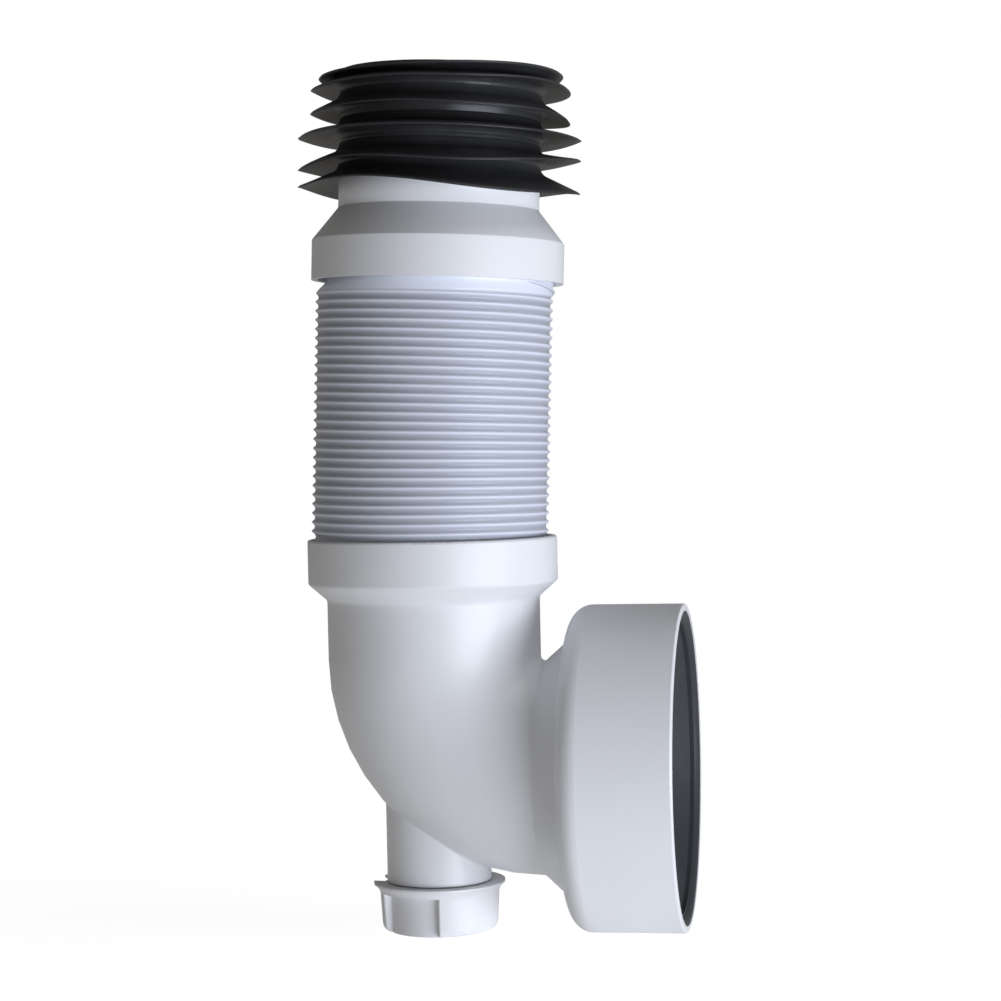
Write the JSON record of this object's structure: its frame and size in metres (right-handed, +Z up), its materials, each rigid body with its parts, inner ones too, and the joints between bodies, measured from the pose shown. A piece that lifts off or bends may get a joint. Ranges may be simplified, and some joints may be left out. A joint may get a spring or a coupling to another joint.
{
  "type": "flexible toilet pan connector",
  "caption": "Bent toilet waste connector: finned rubber seal, ridged flexible hose, moulded elbow with a pan socket and a small side branch with its nut.",
  "frame": {"origin": "middle of the pan seal's sealing lip, on the pan socket's axis", "axes": "+X out of the pan socket's mouth, +Z up from the elbow to the finned seal, +Y by the right-hand rule"},
  "size_m": [0.1634, 0.14, 0.3718],
  "materials": {
    "white_plastic": "satin moulded polypropylene",
    "hose_plastic": "satin extruded soft plastic",
    "nut_plastic": "satin moulded polypropylene",
    "ring_plastic": "smooth washer",
    "black_rubber": "soft moulded rubber with a dull shine",
    "grey_rubber": "soft moulded rubber"
  },
  "bodies": {
    "elbow": {"elbow_body": "white_plastic", "pan_seal": "grey_rubber"},
    "hose": {"flexible_hose": "hose_plastic"},
    "outlet": {"outlet_spigot": "white_plastic", "finned_seal": "black_rubber"},
    "branch_rings": {"slip_ring": "ring_plastic", "cone_seal": "grey_rubber"},
    "nut": {"branch_nut": "nut_plastic"}
  },
  "joints": [
    {"name": "hose_bend", "type": "hinge", "parent": "elbow", "child": "hose", "pos_m": [-0.0867, 0, 0.0924], "axis": [0, 1, 0], "range_deg": [-30, 30], "deforming": ["flexible_hose"]},
    {"name": "hose_stretch", "type": "slide", "parent": "hose", "child": "outlet", "axis": [0.0401, 0, 0.9992], "range_m": [0, 0.1], "deforming": ["flexible_hose"]},
    {"name": "nut_travel", "type": "slide", "parent": "elbow", "child": "branch_rings", "axis": [0, 0, -1], "range_m": [0, 0.01201]},
    {"name": "nut_turn", "type": "hinge", "parent": "branch_rings", "child": "nut", "pos_m": [-0.0867, 0, -0.0595], "axis": [0, 0, -1], "range_deg": [0, 1440]}
  ],
  "couplings": [
    {"joint": "nut_travel", "follows": "nut_turn", "m_per_rad": 0.00047746}
  ]
}
